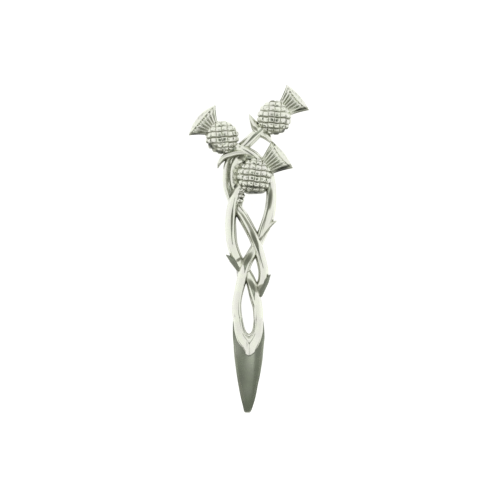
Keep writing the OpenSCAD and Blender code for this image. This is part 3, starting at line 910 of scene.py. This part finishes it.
for v, value in zip(bm.verts, softened):
    v[patina_and_shade] = value
cast_thistles = finished_piece(bm, "cast_thistles", BACK)

PEWTER_WARM = (0.765, 0.765, 0.715, 1)
PEWTER_COOL = (0.795, 0.82, 0.72, 1)
# Patina and painted shade: the grey and the black that the value worked out on the casting lays on
PATINA_AND_SHADE_GREY = (0.355, 0.365, 0.295, 1)
PATINA_AND_SHADE_BLACK = (0.10, 0.105, 0.09, 1)
GRAIN_DARK = (0, 0, 0, 1)
# Where the grey and the black of patina and painted shade set in and are full, and how ragged a
# fine cloud makes them
GREY_FROM, GREY_RAGGED = (0.13, 0.52), 0.10
BLACK_FROM, BLACK_RAGGED = (0.55, 1.0), 0.24
GREY_DULL, CLOUD_DULL = 0.25, 0.06
GRAIN_DEEP = 0.00004


def pewter(name, polish, grain, bright, stretch):
    """Cast pewter, darkened by patina and by painted shade: how rough, how deep, bright and long
    its grain is.
    """
    finish = bpy.data.materials.new(name)
    finish.use_nodes = True
    sheet = Sheet(finish.node_tree)
    here = sheet.add("ShaderNodeTexCoord", out=3)
    depth = sheet.add("ShaderNodeAttribute", {"attribute_name": "patina_and_shade"}, out=2)
    cloud = sheet.add("ShaderNodeTexNoise", None, {
        "Vector": here, "Scale": 420.0, "Detail": 4.0, "Roughness": 0.6})
    along = sheet.add(
        "ShaderNodeVectorMath", {"operation": "MULTIPLY"}, {0: here, 1: (1, stretch, 1)})
    # The grey and the black are patina and painted shade, from the value worked out on the casting
    dark = (depth + (cloud - 0.5) * GREY_RAGGED).over(*GREY_FROM)
    white = sheet.blend(cloud.over(0.35, 0.65), PEWTER_WARM, PEWTER_COOL)
    colour = sheet.blend(dark, white, PATINA_AND_SHADE_GREY)
    black = (depth + (cloud - 0.5) * BLACK_RAGGED).over(*BLACK_FROM)
    colour = sheet.blend(black, colour, PATINA_AND_SHADE_BLACK)
    fine = sheet.add("ShaderNodeTexNoise", None, {"Vector": along, "Scale": 3600.0, "Detail": 3.0})
    colour = sheet.blend((fine - 0.5) * (1 - bright) + bright, GRAIN_DARK, colour)
    relief = sheet.add("ShaderNodeBump", None, {
        "Height": fine, "Strength": grain, "Distance": GRAIN_DEEP})
    metal = sheet.add("ShaderNodeBsdfPrincipled", None, {
        "Base Color": colour, "Metallic": 1.0,
        "Roughness": polish + dark * GREY_DULL + (cloud - 0.5) * CLOUD_DULL,
        "Normal": relief})
    sheet.add("ShaderNodeOutputMaterial", None, {"Surface": metal})
    return finish


cast_thistles.data.materials.append(pewter("pewter_polished", 0.16, 0.12, 1.0, 1.0))
cast_thistles.data.materials.append(pewter("pewter_back", 0.36, 0.8, 0.82, 0.04))
LEVEL_BACK = -0.95
for face in cast_thistles.data.polygons:
    if face.normal.z < LEVEL_BACK:
        face.material_index = 1
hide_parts("casting")
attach(cast_thistles, "root")

# ---------------------------------------------------------------------------------
# The fastening: a plain nickel-plated steel hinge, pin wire and catch, all one piece
# here, soldered to the flat back by the hinge's plate and the catch's round foot.

BARREL_D = 2.6
BARREL_L = 11
REST_W = 1.4
FOOT_T = 0.8
HINGE_FOOT_L = 3.8
CATCH_L = 3
CATCH_FOOT_D = 4.4
WIRE_D = 0.8
TONGUE_W = 1.7
SOLDER = 0.05
HINGE = at(-0.040, 0.712)
WIRE_START = at(-0.131, 0.712)
CATCH = at(-0.044, 0.196)
TONGUE = at(0.054, 0.645)
FOOT_TOP = BACK - SOLDER
BAR_SIDES = 48
EDGE_ROUND = 0.09


def round_bar(length, wide, middle, turn, name):
    """A round bar that is drawn upright and then turned into its place."""
    bm = bmesh.new()
    bmesh.ops.create_cone(
        bm, cap_ends=True, segments=BAR_SIDES, radius1=wide / 2, radius2=wide / 2, depth=length)
    bmesh.ops.transform(bm, matrix=Matrix.Translation(middle) @ turn, verts=bm.verts)
    keep_feature(bm, name)


SIDEWAYS = Matrix.Rotation(math.pi / 2, 4, "Y")
LENGTHWAYS = Matrix.Rotation(math.pi / 2, 4, "X")
round_bar(BARREL_L, BARREL_D, (*HINGE, BARREL_D / 2), SIDEWAYS, "barrel")
plate((BARREL_L, REST_W, FOOT_TOP), (*HINGE, FOOT_TOP / 2), "barrel_web")
plate((BARREL_L, HINGE_FOOT_L, FOOT_T), (*HINGE, FOOT_TOP - FOOT_T / 2), "hinge_foot")
bm = bmesh.new()
flattened = Matrix.Diagonal((1, 1, FOOT_T / (TONGUE_W / 2), 1))
for y in (TONGUE.y, HINGE.y):
    bmesh.ops.create_uvsphere(
        bm, u_segments=32, v_segments=16, radius=TONGUE_W / 2,
        matrix=Matrix.Translation((TONGUE.x, y, FOOT_TOP - FOOT_T)) @ flattened)
wrap(bm)
keep_feature(bm, "tongue")
run = CATCH - WIRE_START
lie = Vector((*run, 0)).to_track_quat("Z", "Y").to_matrix().to_4x4()
round_bar(run.length, WIRE_D, (*(WIRE_START + CATCH) / 2, BARREL_D / 2), lie, "wire")
round_bar(CATCH_L, BARREL_D, (*CATCH, BARREL_D / 2), LENGTHWAYS, "catch")
plate((REST_W, CATCH_L, FOOT_TOP), (*CATCH, FOOT_TOP / 2), "catch_web")
round_bar(FOOT_T, CATCH_FOOT_D, (*CATCH, FOOT_TOP - FOOT_T / 2), Matrix.Identity(4), "catch_foot")
barrel = features.pop(0)
bm = run_together(barrel, [("UNION", feature) for feature in features])
corners = [e for e in bm.edges
           if len(e.link_faces) == 2 and e.calc_face_angle(0) > math.radians(SHARP)]
bmesh.ops.bevel(
    bm, geom=corners, offset=EDGE_ROUND, segments=2, profile=0.5, affect="EDGES",
    clamp_overlap=True)
hinge_and_pin = finished_piece(bm, "hinge_and_pin", 0)

NICKEL_DARK = (0.48, 0.48, 0.47, 1)
NICKEL_LIGHT = (0.66, 0.66, 0.65, 1)
SCRATCH_DEEP = 0.00003
steel = bpy.data.materials.new("nickel_plate")
steel.use_nodes = True
sheet = Sheet(steel.node_tree)
here = sheet.add("ShaderNodeTexCoord", out=3)
cloud = sheet.add("ShaderNodeTexNoise", None, {"Vector": here, "Scale": 900.0, "Detail": 3.0})
fine = sheet.add("ShaderNodeTexNoise", None, {"Vector": here, "Scale": 5200.0, "Detail": 2.0})
relief = sheet.add("ShaderNodeBump", None, {
    "Height": fine, "Strength": 0.15, "Distance": SCRATCH_DEEP})
metal = sheet.add("ShaderNodeBsdfPrincipled", None, {
    "Base Color": sheet.blend(cloud, NICKEL_DARK, NICKEL_LIGHT), "Metallic": 1.0,
    "Roughness": 0.22 + cloud * 0.14, "Normal": relief})
sheet.add("ShaderNodeOutputMaterial", None, {"Surface": metal})
hinge_and_pin.data.materials.append(steel)
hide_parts("brooch_pin")
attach(hinge_and_pin, "root")
